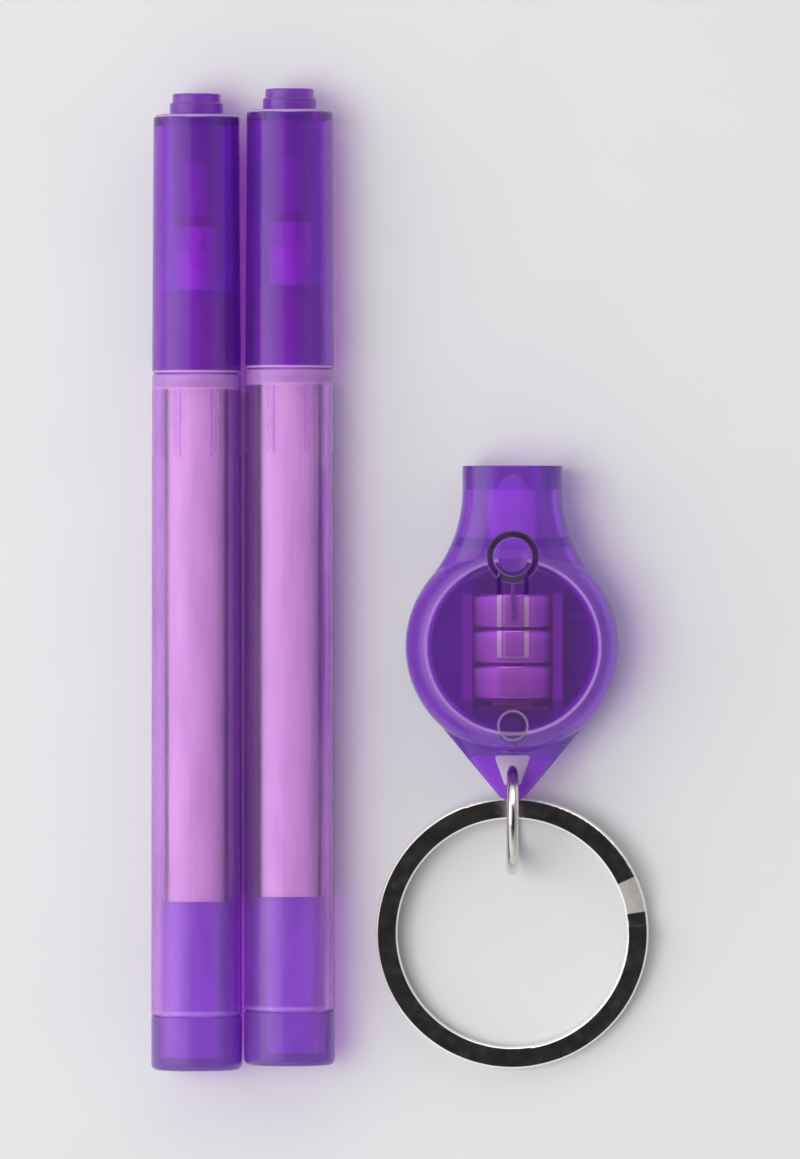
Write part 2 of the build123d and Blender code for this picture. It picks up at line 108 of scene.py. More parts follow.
def new_finish(name):
    """A material with nodes, and its tree's parts: nodes, links and the main shader."""
    finish = bpy.data.materials.new(name)
    finish.use_nodes = True
    tree = finish.node_tree
    return finish, tree.nodes, tree.links, tree.nodes["Principled BSDF"]


def stretched_noise(nodes, links, waves, detail=3.0):
    """Noise in the object's own space, with its own number of waves a metre along each axis."""
    place = nodes.new("ShaderNodeTexCoord")
    stretch = nodes.new("ShaderNodeMapping")
    stretch.inputs["Scale"].default_value = waves
    noise = nodes.new("ShaderNodeTexNoise")
    noise.inputs["Scale"].default_value = 1.0
    noise.inputs["Detail"].default_value = detail
    links.new(place.outputs["Object"], stretch.inputs["Vector"])
    links.new(stretch.outputs["Vector"], noise.inputs["Vector"])
    return noise.outputs["Fac"]


def blended(nodes, links, source, first, second):
    """A colour that wanders between two by a noise value."""
    ramp = nodes.new("ShaderNodeValToRGB")
    ramp.color_ramp.elements[0].position = NOISE_LOW
    ramp.color_ramp.elements[1].position = NOISE_HIGH
    ramp.color_ramp.elements[0].color = (*first, 1)
    ramp.color_ramp.elements[1].color = (*second, 1)
    links.new(source, ramp.inputs["Fac"])
    return ramp.outputs["Color"]


def paper():
    finish, nodes, links, shader = new_finish("pale_paper")
    mottle = stretched_noise(nodes, links, PAPER_MOTTLE)
    links.new(blended(nodes, links, mottle, *PAPER_TONES), shader.inputs["Base Color"])
    shader.inputs["Roughness"].default_value = PAPER_ROUGHNESS
    shader.inputs["Specular IOR Level"].default_value = PAPER_SHINE
    return finish


floor.data.materials.append(paper())
print("floor:", FLOOR_SIZE, "m square")

# %% [markdown]
# The light is a broad soft sky, stronger from the left, with a dark patch straight above where the camera
# stands. That patch matters: the split ring and the torch's face are flat and look straight up, so they
# mirror it, and the ring shows a dark band. A few lamps alone would draw hard stripes along the round pens,
# so the world is the sky, and its brightness falls off near the top.

# %% Soft sky
SKY = (0.88, 0.88, 0.89)
SKY_TOP = (0.03, 0.03, 0.032)
SKY_FALLS = 0.55
SKY_DARK = 0.97
SKY_LEFT = 1.25
SKY_RIGHT = 0.45


def studio_world():
    world = bpy.data.worlds.new("studio")
    world.use_nodes = True
    nodes, links = world.node_tree.nodes, world.node_tree.links
    nodes.clear()
    place = nodes.new("ShaderNodeTexCoord")
    split = nodes.new("ShaderNodeSeparateXYZ")
    ramp = nodes.new("ShaderNodeValToRGB")
    ramp.color_ramp.interpolation = "EASE"
    ramp.color_ramp.elements[0].position = SKY_FALLS
    ramp.color_ramp.elements[0].color = (*SKY, 1)
    ramp.color_ramp.elements[1].position = SKY_DARK
    ramp.color_ramp.elements[1].color = (*SKY_TOP, 1)
    side = nodes.new("ShaderNodeMapRange")
    side.inputs["From Min"].default_value = -1
    side.inputs["From Max"].default_value = 1
    side.inputs["To Min"].default_value = SKY_LEFT
    side.inputs["To Max"].default_value = SKY_RIGHT
    light = nodes.new("ShaderNodeBackground")
    out = nodes.new("ShaderNodeOutputWorld")
    links.new(place.outputs["Generated"], split.inputs["Vector"])
    links.new(split.outputs["Z"], ramp.inputs["Fac"])
    links.new(ramp.outputs["Color"], light.inputs["Color"])
    links.new(split.outputs["X"], side.inputs["Value"])
    links.new(side.outputs["Result"], light.inputs["Strength"])
    links.new(light.outputs["Background"], out.inputs["Surface"])
    return world


bpy.context.scene.world = studio_world()
print("sky strength from left to right:", SKY_LEFT, SKY_RIGHT)

# %% [markdown]
# A broad lamp high on the left and three weak ones at the sides give the light its direction. A lamp that
# showed through a clear wall would draw a streak there, so none of these does. The broad lamp and the right
# one are hidden from gloss too, and the left and the far one give glints. Behind the torch's face the cells
# need a little more, so a strip at the far side may show through clear walls, and lights nothing matt.

# %% Lamps


def soft_lamp(name, place, size, power, glints=False):
    """A rectangular lamp that faces the middle of the set. Gloss shows it only with glints."""
    data = bpy.data.lights.new(name, "AREA")
    data.shape = "RECTANGLE"
    data.size, data.size_y = size
    data.energy = power
    lamp = bpy.data.objects.new(name, data)
    bpy.context.scene.collection.objects.link(lamp)
    lamp.location = place
    lamp.rotation_mode = "QUATERNION"
    lamp.rotation_quaternion = (middle - Vector(place)).to_track_quat("-Z", "Y")
    lamp.visible_glossy = glints
    lamp.visible_transmission = False
    return lamp


def glint_strip(name, place, size, power):
    """A lamp that gloss and clear walls show, and that lights nothing matt."""
    lamp = soft_lamp(name, place, size, power, glints=True)
    lamp.visible_transmission = True
    lamp.visible_diffuse = False
    return lamp


lamps = [
    soft_lamp("top_lamp", place=(-0.40, -0.10, 0.98), size=(0.60, 0.60), power=6.2),
    soft_lamp("left_lamp", place=(-0.46, 0.10, 0.40), size=(0.40, 0.80), power=0.8, glints=True),
    soft_lamp("far_lamp", place=(0.05, 0.55, 0.45), size=(0.80, 0.40), power=0.5, glints=True),
    soft_lamp("right_lamp", place=(0.50, -0.10, 0.40), size=(0.40, 0.70), power=0.1),
    glint_strip("far_strip", place=(-0.05, 0.62, 0.52), size=(0.80, 0.40), power=2.5),
]
print("lamps:", [(lamp.name, lamp.data.energy) for lamp in lamps])

# %% [markdown]
# Clear coloured plastic gets its colour from depth: light loses green, then red, as it goes through the
# wall. A tint on the surface would colour a thin wall and a thick one alike. An absorbing volume inside
# the solid makes the wall darker where it is seen edge-on, which is what makes a tube look like a tube.
# This plastic is cheap and cloudy, so a share of the light is scattered back at each surface in the
# plastic's own colour, from a few hundredths on the barrels to two fifths on the torch's back, and what lies
# inside shows softly. The cloud is uneven, as melted plastic is that flowed along a mould. Lamps can't shine
# through a refracting surface in a path tracer without a lot of noise, so for shadow rays alone the surface
# is plain clear, and the volume still colours the light that passes.

# %% Cloudy violet plastic
PLASTIC_IOR = 1.49
PLASTIC_GLOSS = (0.10, 0.22)
PLASTIC_RIPPLE = 0.01 * MM
FLOW_WAVES = (500, 120, 500)
SMEAR_WAVES = (220, 90, 220)
CLOUD_SPREAD = 0.08
DENSITY_ROOM = 1.05
CAP_ABSORBS = (265, 930, 165)
CAP_CLOUD = (0.60, 0.20, 0.96)


def spread(nodes, links, source, low, high):
    """A noise value moved from its usual middle range to a range that a socket can use."""
    ranged = nodes.new("ShaderNodeMapRange")
    ranged.inputs["From Min"].default_value = NOISE_LOW
    ranged.inputs["From Max"].default_value = NOISE_HIGH
    ranged.inputs["To Min"].default_value = low
    ranged.inputs["To Max"].default_value = high
    links.new(source, ranged.inputs["Value"])
    return ranged.outputs["Result"]


def bumped(nodes, links, source, depth):
    """A bump whose depth is in metres."""
    bump = nodes.new("ShaderNodeBump")
    bump.inputs["Distance"].default_value = depth
    bump.inputs["Strength"].default_value = 1.0
    links.new(source, bump.inputs["Height"])
    return bump.outputs["Normal"]


def absorbing_depth(nodes, absorbs):
    """A volume that takes its own amount from red, green and blue in each metre."""
    density = max(absorbs) * DENSITY_ROOM
    depth = nodes.new("ShaderNodeVolumeAbsorption")
    depth.inputs["Density"].default_value = density
    depth.inputs["Color"].default_value = (*[1 - value / density for value in absorbs], 1)
    return depth.outputs["Volume"]


def clear_plastic(name, absorbs, cloud, clear):
    """Moulded plastic: what it absorbs in each metre, its cloud's colour, and the share that goes through."""
    finish, nodes, links, shader = new_finish(name)
    shader.inputs["IOR"].default_value = PLASTIC_IOR
    shader.inputs["Transmission Weight"].default_value = clear
    flow = stretched_noise(nodes, links, FLOW_WAVES)
    thin = [value * (1 - CLOUD_SPREAD) for value in cloud]
    thick = [value * (1 + CLOUD_SPREAD) for value in cloud]
    links.new(blended(nodes, links, flow, thin, thick), shader.inputs["Base Color"])
    links.new(bumped(nodes, links, flow, PLASTIC_RIPPLE), shader.inputs["Normal"])
    smear = stretched_noise(nodes, links, SMEAR_WAVES)
    links.new(spread(nodes, links, smear, *PLASTIC_GLOSS), shader.inputs["Roughness"])
    open_to_lamps = nodes.new("ShaderNodeBsdfTransparent")
    ray = nodes.new("ShaderNodeLightPath")
    choose = nodes.new("ShaderNodeMixShader")
    out = nodes["Material Output"]
    links.new(ray.outputs["Is Shadow Ray"], choose.inputs["Fac"])
    links.new(shader.outputs["BSDF"], choose.inputs[1])
    links.new(open_to_lamps.outputs["BSDF"], choose.inputs[2])
    links.new(choose.outputs["Shader"], out.inputs["Surface"])
    links.new(absorbing_depth(nodes, absorbs), out.inputs["Volume"])
    return finish


barrel_violet = clear_plastic("barrel_violet", absorbs=(110, 400, 15), cloud=(0.96, 0.82, 1.0), clear=0.96)
plug_violet = clear_plastic("plug_violet", absorbs=(150, 500, 80), cloud=(0.68, 0.34, 0.96), clear=0.84)
cap_violet = clear_plastic("cap_violet", CAP_ABSORBS, CAP_CLOUD, clear=0.92)
cap_plug_violet = clear_plastic("cap_plug_violet", CAP_ABSORBS, CAP_CLOUD, clear=0.80)
case_violet = clear_plastic("case_violet", absorbs=(240, 600, 90), cloud=(0.64, 0.25, 1.0), clear=0.85)
back_violet = clear_plastic("back_violet", absorbs=(700, 1400, 350), cloud=(0.29, 0.06, 0.54), clear=0.60)
lamp_clear = clear_plastic("lamp_clear", absorbs=(20, 26, 12), cloud=(0.90, 0.88, 0.95), clear=0.60)
plastics = (barrel_violet, plug_violet, cap_violet, cap_plug_violet, case_violet, back_violet, lamp_clear)
print("cloudy plastics:", [finish.name for finish in plastics])

# %% [markdown]
# A moulded piece isn't the same all over: some zones are cloudy, some polished, some rubbed, and some hold
# painted highlights or painted shade. Each could be cut as a solid of its own, but it is the same piece, so
# its finish changes instead.
# A ramp over a place in the piece gives the zone's colour, and the ramp's alpha says how far it covers the
# plastic's own. The same three functions serve bands along a pen and rings on the torch.

# %% Zones of a finish


def zones(nodes, links, source, steps):
    """A ramp with a colour and an alpha at each value of its source."""
    ramp = nodes.new("ShaderNodeValToRGB")
    stops = ramp.color_ramp.elements
    while len(stops) < len(steps):
        stops.new(1.0)
    for stop, (value, colour, share) in zip(stops, steps):
        stop.position = value
        stop.color = (*colour, share)
    links.new(source, ramp.inputs["Fac"])
    return ramp.outputs["Color"], ramp.outputs["Alpha"]


def between(first, last, soft, colour):
    """Steps of a zone that covers all from first to last and fades over a soft width at both sides."""
    return [(first - soft, colour, 0), (first, colour, 1), (last, colour, 1), (last + soft, colour, 0)]


def lay_over(finish, colour, cover, level, socket="Transmission Weight"):
    """Another colour over a finish's own, as far as cover says, with its own level at one socket."""
    nodes, links = finish.node_tree.nodes, finish.node_tree.links
    shader = nodes["Principled BSDF"]
    tone = nodes.new("ShaderNodeMix")
    tone.data_type = "RGBA"
    links.new(cover, tone.inputs["Factor"])
    links.new(shader.inputs["Base Color"].links[0].from_socket, tone.inputs["A"])
    links.new(colour, tone.inputs["B"])
    links.new(tone.outputs["Result"], shader.inputs["Base Color"])
    share = nodes.new("ShaderNodeMix")
    share.inputs["A"].default_value = shader.inputs[socket].default_value
    share.inputs["B"].default_value = level
    if shader.inputs[socket].links:
        links.new(shader.inputs[socket].links[0].from_socket, share.inputs["A"])
    links.new(cover, share.inputs["Factor"])
    links.new(share.outputs["Result"], shader.inputs[socket])


print("zone helpers:", [helper.__name__ for helper in (zones, between, lay_over)])

# %% [markdown]
# Moulded pieces show pale lines where they end: the cap's mouth and shoulder, and the barrel's tail, are
# painted paler, as painted highlights of edges that catch light. The barrel is painted paler and cloudier all
# round where its wall steps in to carry the cap. The spigot under the cap is darker, the nose at its end is
# paler, and the tube in the cap that seals the nib is pale too. All of these lie at a set place along a pen,
# so a ramp along the piece's own box finds them. The box runs from 0 to 1 on each piece, and one finish
# serves both pens.

# %% Bands along the pens
PEN_EDGE_WIDTH = 0.25 * MM
BAND_SOFT = 0.3 * PEN_EDGE_WIDTH
# Painted highlights: paler, cloudier bands at the ends of the cap and of the barrel.
PEN_EDGE_HIGHLIGHT = (0.92, 0.66, 1.0)
PEN_EDGE_CLEAR = 0.55
# A paler, cloudier band where the barrel's wall steps in to carry the cap.
ROOT_CLOUD = (0.78, 0.42, 0.86)
ROOT_CLEAR = 0.60
SPIGOT_CLOUD = (0.46, 0.22, 0.52)
SPIGOT_CLEAR = 0.55
NOSE_LENGTH = 4.1 * MM
NOSE_CLOUD = (0.88, 0.66, 0.86)
NOSE_CLEAR = 0.45
CAP_TOP = 1.0 * MM
SEAL_CLOUD = (0.95, 0.52, 0.96)
SEAL_CLEAR = 0.88


def along_piece(nodes, links):
    """How far along its own box a point lies, from 0 at the low end of Y to 1 at the high end."""
    place = nodes.new("ShaderNodeTexCoord")
    split = nodes.new("ShaderNodeSeparateXYZ")
    links.new(place.outputs["Generated"], split.inputs["Vector"])
    return split.outputs["Y"]


def band(finish, node, first, last, colour, clear):
    """A cloudy band between two places along a piece."""
    nodes, links = finish.node_tree.nodes, finish.node_tree.links
    low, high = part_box(node)
    length = high.y - low.y
    steps = between((first - low.y) / length, (last - low.y) / length, BAND_SOFT / length, colour)
    lay_over(finish, *zones(nodes, links, along_piece(nodes, links), steps), clear)
    print(node, "band in mm:", round(first / MM, 2), round(last / MM, 2))


barrel_low, barrel_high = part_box("pen_1_barrel")
cap_low, cap_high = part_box("pen_1_cap")
core_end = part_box("pen_1_reservoir_core")[1].y
spigot_end = barrel_high.y - NOSE_LENGTH
seal_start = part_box("pen_1_cap_plug")[0].y
# Painted highlight at the barrel's tail.
band(barrel_violet, "pen_1_barrel", barrel_low.y, barrel_low.y + PEN_EDGE_WIDTH, PEN_EDGE_HIGHLIGHT, PEN_EDGE_CLEAR)
band(barrel_violet, "pen_1_barrel", core_end, cap_low.y, ROOT_CLOUD, ROOT_CLEAR)
band(barrel_violet, "pen_1_barrel", cap_low.y, spigot_end, SPIGOT_CLOUD, SPIGOT_CLEAR)
band(barrel_violet, "pen_1_barrel", spigot_end, barrel_high.y, NOSE_CLOUD, NOSE_CLEAR)
band(cap_plug_violet, "pen_1_cap_plug", seal_start, cap_high.y - CAP_TOP, SEAL_CLOUD, SEAL_CLEAR)
# Painted highlights at the cap's mouth and shoulder.
band(cap_violet, "pen_1_cap", cap_low.y, cap_low.y + PEN_EDGE_WIDTH, PEN_EDGE_HIGHLIGHT, PEN_EDGE_CLEAR)
band(cap_violet, "pen_1_cap", cap_high.y - PEN_EDGE_WIDTH, cap_high.y, PEN_EDGE_HIGHLIGHT, PEN_EDGE_CLEAR)

# %% [markdown]
# The torch's face is polished and clear, with a thin raised lip round it, and the rest of the front is
# finely etched, so it scatters more light. The lip is painted paler, a painted highlight. A painted shade
# lies in the slit round the button's head and on the lamp below it, and shows as a dark line, and the dish
# that the finger presses is painted darker. The screw post under the face shows as a pale ring round a
# darker middle. These are all rings or discs round an upright axis, so the ramps go over the distance from
# one.

# %% Face, lip, slit and screw post of the torch
ZONE_REACH = 12 * MM
FACE_R = 8.9 * MM
FACE_CLOUD = (0.75, 0.40, 0.90)
FACE_CLEAR = 0.96
LIP_WIDTH = 0.25 * MM
LIP_SOFT = 0.4 * LIP_WIDTH
# Painted highlight: a paler, cloudier ring on the lip.
LIP_HIGHLIGHT = (0.90, 0.66, 1.0)
LIP_HIGHLIGHT_CLEAR = 0.75
POST_R = 1.53 * MM
POST_LINE = 0.15 * MM
POST_SOFT = 0.5 * POST_LINE
POST_CLOUD = (0.88, 0.62, 0.98)
POST_CLEAR = 0.75
SINK_CLOUD = (0.42, 0.16, 0.66)
SINK_CLEAR = 0.86
SLIT_WIDTH = 0.45 * MM
# Painted shade: a dark ring over the slit round the button's head.
SLIT_SHADE_WIDTH = 0.1 * MM
SLIT_SHADE = (0.10, 0.08, 0.12)
SLIT_SHADE_CLEAR = 0.45
# The middle of the button's head is painted darker.
DISH_SHARE = 0.72
DISH_SOFT = 0.05 * MM
DISH_CLOUD = (0.50, 0.18, 0.80)
DISH_CLEAR = 0.80
mount_places = {mount["name"]: mount["pos_m"] for mount in frame["record"]["mounts"]}
face_middle = mount_places["torch_back"]
button_low, button_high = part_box("torch_press_button")
head_r = (button_high.x - button_low.x) / 2
head_middle = (face_middle[0], button_high.y - head_r, 0)
screw_low, screw_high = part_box("torch_case_screw")
post_middle = (screw_low + screw_high) / 2


def distance_across(nodes, links, middle_point):
    """How far a point of the solid lies from an upright axis, as a share of the zones' reach."""
    place = nodes.new("ShaderNodeTexCoord")
    shift = nodes.new("ShaderNodeVectorMath")
    shift.operation = "SUBTRACT"
    shift.inputs[1].default_value = middle_point
    flat = nodes.new("ShaderNodeVectorMath")
    flat.operation = "MULTIPLY"
    flat.inputs[1].default_value = (1 / ZONE_REACH, 1 / ZONE_REACH, 0)
    reach = nodes.new("ShaderNodeVectorMath")
    reach.operation = "LENGTH"
    links.new(place.outputs["Object"], shift.inputs[0])
    links.new(shift.outputs["Vector"], flat.inputs[0])
    links.new(flat.outputs["Vector"], reach.inputs[0])
    return reach.outputs["Value"]


def ring(finish, middle_point, inner, outer, colour, clear, soft):
    """A cloudy ring between two distances from an upright axis. A disc where inner is 0."""
    nodes, links = finish.node_tree.nodes, finish.node_tree.links
    steps = between(inner / ZONE_REACH, outer / ZONE_REACH, soft / ZONE_REACH, colour)
    if inner == 0:
        steps = steps[2:]
    lay_over(finish, *zones(nodes, links, distance_across(nodes, links, middle_point), steps), clear)
    print(finish.name, "ring in mm:", round(inner / MM, 2), round(outer / MM, 2))


lip_inner = FACE_R - LIP_WIDTH
post_inner = POST_R - POST_LINE
slit_inner = head_r - SLIT_SHADE_WIDTH
slit_outer = head_r + SLIT_WIDTH + SLIT_SHADE_WIDTH
ring(case_violet, face_middle, 0, lip_inner, FACE_CLOUD, FACE_CLEAR, LIP_SOFT)
ring(case_violet, post_middle, 0, post_inner, SINK_CLOUD, SINK_CLEAR, POST_SOFT)
ring(case_violet, post_middle, post_inner, POST_R, POST_CLOUD, POST_CLEAR, POST_SOFT)
# Painted highlight on the lip.
ring(case_violet, face_middle, lip_inner, FACE_R, LIP_HIGHLIGHT, LIP_HIGHLIGHT_CLEAR, LIP_SOFT)
ring(case_violet, head_middle, 0, DISH_SHARE * head_r, DISH_CLOUD, DISH_CLEAR, DISH_SOFT)
# Painted shade in the slit, on the front and on the lamp below it.
for slit_shaded in (case_violet, lamp_clear):
    ring(slit_shaded, head_middle, slit_inner, slit_outer, SLIT_SHADE, SLIT_SHADE_CLEAR, SLIT_SHADE_WIDTH)

# %% [markdown]
# The two walls beside the cells are thin and stand up to the face, and the paler strips they show through it
# are painted light.
# They are part of the rear shell, which is dark because one looks into its depth. A strip is a step in the
# distance from the torch's middle line, and it ends where the cells end.

# %% Pocket walls beside the cells
WALL_INNER = 4.05 * MM
WALL_OUTER = 5.05 * MM
WALL_SOFT = 0.1 * MM
WALL_PAINTED_LIGHT = (0.46, 0.16, 0.66)
WALL_CLEAR = 0.5
cells_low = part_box("cell_3_can")[0].y
cells_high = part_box("cell_1_can")[1].y


def aside(nodes, links, source, middle_line):
    """How far a coordinate lies to either side of a middle line, as a share of the zones' reach."""
    shift = nodes.new("ShaderNodeMath")
    shift.operation = "MULTIPLY_ADD"
    shift.inputs[1].default_value = 1 / ZONE_REACH
    shift.inputs[2].default_value = -middle_line / ZONE_REACH
    size = nodes.new("ShaderNodeMath")
    size.operation = "ABSOLUTE"
    links.new(source, shift.inputs[0])
    links.new(shift.outputs["Value"], size.inputs[0])
    return size.outputs["Value"]


# Painted light: paler strips on the rear shell where the pocket walls stand.
def pocket_walls(finish):
    nodes, links = finish.node_tree.nodes, finish.node_tree.links
    place = nodes.new("ShaderNodeTexCoord")
    split = nodes.new("ShaderNodeSeparateXYZ")
    links.new(place.outputs["Object"], split.inputs["Vector"])
    soft = WALL_SOFT / ZONE_REACH
    half_run = (cells_high - cells_low) / 2
    beside = aside(nodes, links, split.outputs["X"], face_middle[0])
    along = aside(nodes, links, split.outputs["Y"], (cells_low + cells_high) / 2)
    thickness = between(WALL_INNER / ZONE_REACH, WALL_OUTER / ZONE_REACH, soft, WALL_PAINTED_LIGHT)
    run = between(0, half_run / ZONE_REACH, soft, WALL_PAINTED_LIGHT)[2:]
    colour, in_thickness = zones(nodes, links, beside, thickness)
    _, in_run = zones(nodes, links, along, run)
    both = nodes.new("ShaderNodeMath")
    both.operation = "MULTIPLY"
    links.new(in_thickness, both.inputs[0])
    links.new(in_run, both.inputs[1])
    lay_over(finish, colour, both.outputs["Value"], WALL_CLEAR)


pocket_walls(back_violet)
print("pocket walls in mm:", round(cells_low / MM, 2), "to", round(cells_high / MM, 2))

# %% [markdown]
# Inside each barrel is a bundle of bonded fibre in a thin clear sleeve. Fibre runs lengthwise, so its noise
# is drawn out along the pen. The sleeve is far too thin to bend light, so it is a see-through surface with
# a gloss that grows towards grazing angles.

# %% Ink fibre and its sleeve
STRAND_WAVES = (5200, 140, 5200)
STRAND_DEPTH = 0.06 * MM
FIBRE_ROUGHNESS = 0.8
FIBRE_SHEEN = 0.15
FILM_TINT = (0.99, 0.985, 0.99)
FILM_WRINKLES = (700, 60, 700)
FILM_DEPTH = 0.04 * MM
FILM_GLOSS = (0.08, 0.2)
FILM_IOR = 1.1


def fibre(name, first, second):
    finish, nodes, links, shader = new_finish(name)
    strands = stretched_noise(nodes, links, STRAND_WAVES, detail=4.0)
    links.new(blended(nodes, links, strands, first, second), shader.inputs["Base Color"])
    links.new(bumped(nodes, links, strands, STRAND_DEPTH), shader.inputs["Normal"])
    shader.inputs["Roughness"].default_value = FIBRE_ROUGHNESS
    shader.inputs["Sheen Weight"].default_value = FIBRE_SHEEN
    return finish


def thin_film():
    finish, nodes, links, shader = new_finish("thin_film")
    nodes.remove(shader)
    see = nodes.new("ShaderNodeBsdfTransparent")
    see.inputs["Color"].default_value = (*FILM_TINT, 1)
    gloss = nodes.new("ShaderNodeBsdfGlossy")
    wrinkle = stretched_noise(nodes, links, FILM_WRINKLES)
    links.new(spread(nodes, links, wrinkle, *FILM_GLOSS), gloss.inputs["Roughness"])
    links.new(bumped(nodes, links, wrinkle, FILM_DEPTH), gloss.inputs["Normal"])
    edge = nodes.new("ShaderNodeFresnel")
    edge.inputs["IOR"].default_value = FILM_IOR
    choose = nodes.new("ShaderNodeMixShader")
    links.new(edge.outputs["Fac"], choose.inputs["Fac"])
    links.new(see.outputs["BSDF"], choose.inputs[1])
    links.new(gloss.outputs["BSDF"], choose.inputs[2])
    links.new(choose.outputs["Shader"], nodes["Material Output"].inputs["Surface"])
    return finish


ink_fibre = fibre("ink_fibre", first=(0.91, 0.87, 0.80), second=(0.97, 0.94, 0.88))
nib_fibre = fibre("nib_fibre", first=(0.70, 0.66, 0.70), second=(0.82, 0.79, 0.81))
film_clear = thin_film()
print("fibres:", ink_fibre.name, nib_fibre.name, "film:", film_clear.name)

# %% [markdown]
# The ring and the link are bright nickel plate over steel, and the small inner metal is tinned or
# zinc-plated. They are one kind of finish with other colours, grain and gloss, so one function makes them
# all: the grain sets the colour, the bump and the roughness. A cell's can is pressed and dull. It is satin
# along its side and burnished near its two ends, so its colour and its mirror share come from one more ramp
# along the piece, with the share in the ramp's alpha. Its colour also holds painted light: painted shade at
# both ends where the cells meet, a painted highlight line near the low end, and a painted brightening
# towards the high end.

# %% Plated metals
SATIN = 0.45
BURNISHED = 0.80
MIRROR = 1.00
# Painted shade at both ends where the cells meet, and painted highlights near the low end and towards the
# high end.
CELL_BANDS_WITH_PAINTED_LIGHT = [
    (0.000, (0.34, 0.29, 0.29), SATIN),
    (0.030, (0.95, 0.90, 0.88), BURNISHED),
    (0.065, (0.95, 0.90, 0.88), BURNISHED),
    (0.110, (0.66, 0.59, 0.58), SATIN),
    (0.600, (0.78, 0.71, 0.69), SATIN),
    (0.900, (1.00, 0.95, 0.92), SATIN),
    (0.925, (1.00, 0.98, 0.96), MIRROR),
    (0.985, (1.00, 0.98, 0.96), MIRROR),
    (1.000, (0.42, 0.37, 0.36), MIRROR),
]


def plated(name, grain, gloss, depth, tones=None, bands=None):
    """Plate with a grain, coloured by two tones of the grain or by bands along the piece."""
    finish, nodes, links, shader = new_finish(name)
    lines = stretched_noise(nodes, links, grain, detail=5.0)
    links.new(spread(nodes, links, lines, *gloss), shader.inputs["Roughness"])
    links.new(bumped(nodes, links, lines, depth), shader.inputs["Normal"])
    if bands:
        colour, mirror = zones(nodes, links, along_piece(nodes, links), bands)
        links.new(colour, shader.inputs["Base Color"])
        links.new(mirror, shader.inputs["Metallic"])
    else:
        links.new(blended(nodes, links, lines, *tones), shader.inputs["Base Color"])
        shader.inputs["Metallic"].default_value = MIRROR
    return finish


ring_nickel = plated(
    "ring_nickel", grain=(900, 900, 900), gloss=(0.10, 0.22), depth=0.004 * MM,
    tones=[(0.66, 0.63, 0.58), (0.78, 0.75, 0.70)],
)
cell_steel = plated(
    "cell_steel", grain=(200, 900, 200), gloss=(0.18, 0.28), depth=0.002 * MM,
    bands=CELL_BANDS_WITH_PAINTED_LIGHT,
)
lead_tin = plated(
    "lead_tin", grain=(2500, 2500, 2500), gloss=(0.25, 0.40), depth=0.006 * MM,
    tones=[(0.68, 0.68, 0.70), (0.76, 0.76, 0.78)],
)
contact_strip = plated(
    "contact_strip", grain=(200, 3000, 3000), gloss=(0.2, 0.35), depth=0.004 * MM,
    tones=[(0.70, 0.67, 0.62), (0.78, 0.75, 0.70)],
)
screw_steel = plated(
    "screw_steel", grain=(1500, 1500, 1500), gloss=(0.28, 0.45), depth=0.008 * MM,
    tones=[(0.52, 0.52, 0.54), (0.62, 0.62, 0.64)],
)
print("metals:", ring_nickel.name, cell_steel.name, lead_tin.name, contact_strip.name, screw_steel.name)

# %% [markdown]
# The ring's flat faces mirror the dark patch above, and its rounded edges are rubbed matt by keys, so they
# catch light from all round. They are also painted paler, a painted highlight that outlines the ring. A matt
# edge could be cut as a piece of its own, but it is the same strip, so the finish finds it: on a rounded edge
# the surface turns away from the ring's own axis.
# The ring leans on the link, so that axis is measured from its flat faces.

# %% Rubbed edges and painted highlight of the split ring
# Painted highlight: the rounded edges' colour is paler than the plate's.
RING_EDGE_HIGHLIGHT = (0.94, 0.90, 0.86)
EDGE_MIRROR = 0.35
EDGE_TURNS = [(0.10, 0), (0.25, 1), (0.93, 1), (0.985, 0)]
FACES_UP = 0.9
ring_faces = [face for face in frame["nodes"]["split_ring"].data.polygons if face.normal.z > FACES_UP]
ring_axis = sum((face.normal * face.area for face in ring_faces), Vector()).normalized()


def facing(nodes, links, axis):
    """How nearly a surface faces along an axis, from 0 across it to 1 along it."""
    place = nodes.new("ShaderNodeTexCoord")
    along = nodes.new("ShaderNodeVectorMath")
    along.operation = "DOT_PRODUCT"
    along.inputs[1].default_value = axis
    size = nodes.new("ShaderNodeMath")
    size.operation = "ABSOLUTE"
    links.new(place.outputs["Normal"], along.inputs[0])
    links.new(along.outputs["Value"], size.inputs[0])
    return size.outputs["Value"]


def rub_and_highlight_edges(finish):
    nodes, links = finish.node_tree.nodes, finish.node_tree.links
    steps = [(turn, RING_EDGE_HIGHLIGHT, cover) for turn, cover in EDGE_TURNS]
    colour, cover = zones(nodes, links, facing(nodes, links, ring_axis), steps)
    lay_over(finish, colour, cover, EDGE_MIRROR, socket="Metallic")


# The split ring's own finish, with rubbed edges and a painted highlight on them.
rubbed_highlit_ring = ring_nickel.copy()
rubbed_highlit_ring.name = "rubbed_highlit_ring"
rub_and_highlight_edges(rubbed_highlit_ring)
print("ring axis:", [round(part, 3) for part in ring_axis])

# %% [markdown]
# One small finish is left: the dark nylon seal between the two halves of a cell. It shows only as a thin
# line, so a fine grain is enough.

# %% Seal
SEAL_GRAIN = (2500, 2500, 2500)
SEAL_TONES = [(0.02, 0.02, 0.025), (0.05, 0.05, 0.055)]
SEAL_GLOSS = (0.4, 0.6)


def seal_nylon():
    finish, nodes, links, shader = new_finish("gasket_nylon")
    grain = stretched_noise(nodes, links, SEAL_GRAIN)
    links.new(blended(nodes, links, grain, *SEAL_TONES), shader.inputs["Base Color"])
    links.new(spread(nodes, links, grain, *SEAL_GLOSS), shader.inputs["Roughness"])
    return finish


gasket_nylon = seal_nylon()
print("small finish:", gasket_nylon.name)
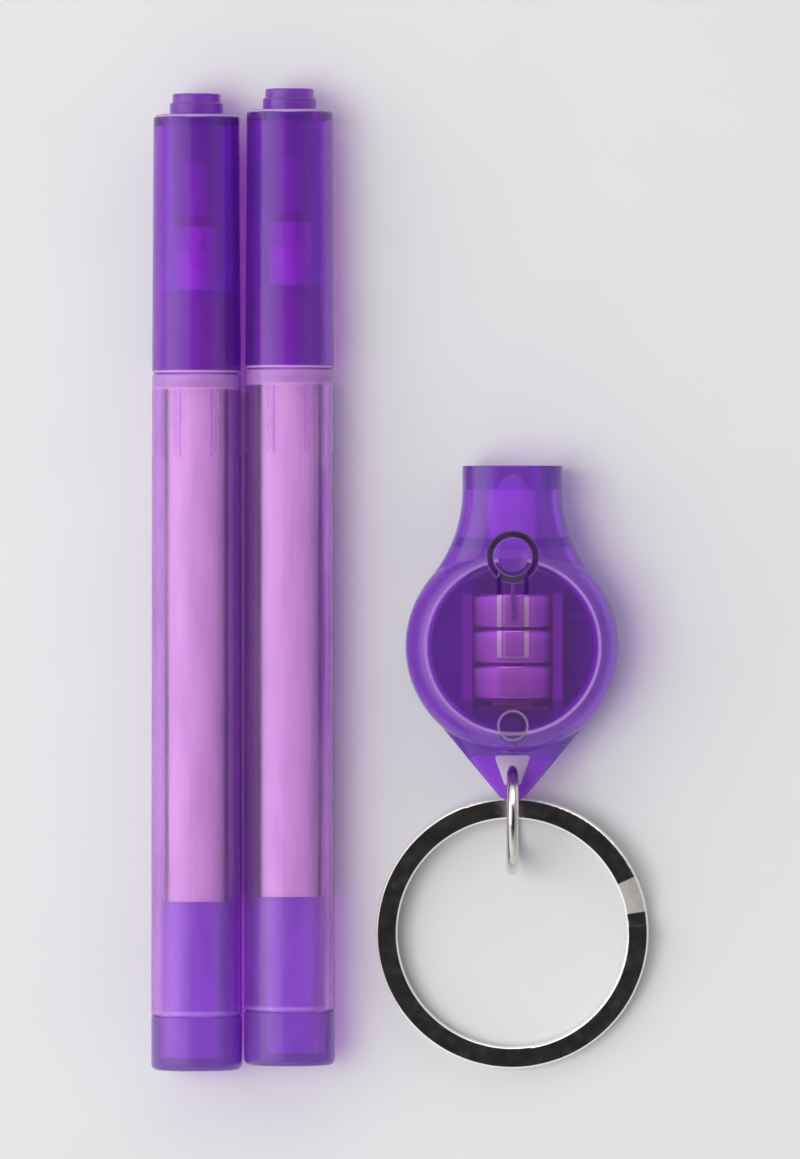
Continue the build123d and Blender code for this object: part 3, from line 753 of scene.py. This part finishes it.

# %% [markdown]
# Every solid names a finish slot in its record, so the finishes go on by that name and not one by one.
# Three slots hold pieces that look different: the torch's back is seen from inside and has no lip or face,
# the plugs in the caps' tops have no painted highlight at a mouth, and the link has no edges to rub or paint
# paler. Four solids get their own variant afterwards.

# %% Finish every solid
finishes = {
    "barrel_violet": barrel_violet,
    "plug_violet": plug_violet,
    "cap_violet": cap_violet,
    "case_violet": case_violet,
    "ink_fibre": ink_fibre,
    "nib_fibre": nib_fibre,
    "film_clear": film_clear,
    "lamp_clear": lamp_clear,
    "lead_tin": lead_tin,
    "cell_steel": cell_steel,
    "gasket_nylon": gasket_nylon,
    "contact_strip": contact_strip,
    "screw_steel": screw_steel,
    "ring_nickel": ring_nickel,
}
for subpart in frame["record"]["subparts"]:
    solid = frame["nodes"][subpart["node"]]
    solid.data.materials.clear()
    solid.data.materials.append(finishes[subpart["material_slot"]])
    print(subpart["node"], len(solid.data.polygons), subpart["material_slot"])
variants = {
    "torch_rear_case": back_violet,
    "pen_1_cap_plug": cap_plug_violet,
    "pen_2_cap_plug": cap_plug_violet,
    "split_ring": rubbed_highlit_ring,
}
for node, variant in variants.items():
    frame["nodes"][node].data.materials[0] = variant
    print(node, variant.name)

# %% [markdown]
# One lead of the lamp is a spring. It runs along under the button's tongue, and a press bends it down on the
# first cell. As a stiff solid it would stay up, and the pressed tongue would cut through it. A hinge would
# kink it. So a copy of the wire is cut into short lengths, by cuts across its run from the torch, which
# holds it in the lamp, to the button, and the stiff wire is hidden.

# %% Springy lead under the button
LEAD_STEP = 0.4 * MM
lead_low, lead_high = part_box("torch_led_anode_lead")
lead_run = lead_high.y - lead_low.y
sprung_lead = bpy.data.objects.new("sprung_lead", frame["nodes"]["torch_led_anode_lead"].data.copy())
bpy.context.scene.collection.objects.link(sprung_lead)
wire = bmesh.new()
wire.from_mesh(sprung_lead.data)
for cut in range(1, int(lead_run / LEAD_STEP)):
    bmesh.ops.bisect_plane(
        wire,
        geom=wire.verts[:] + wire.edges[:] + wire.faces[:],
        plane_co=(0, lead_low.y + cut * LEAD_STEP, 0),
        plane_no=(0, 1, 0),
    )
wire.to_mesh(sprung_lead.data)
wire.free()
sprung_lead.data.shade_smooth()
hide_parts("torch_led_anode_lead")
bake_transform(sprung_lead)
print("sprung lead:", len(sprung_lead.data.vertices), "points over", round(lead_run / MM, 2), "mm")
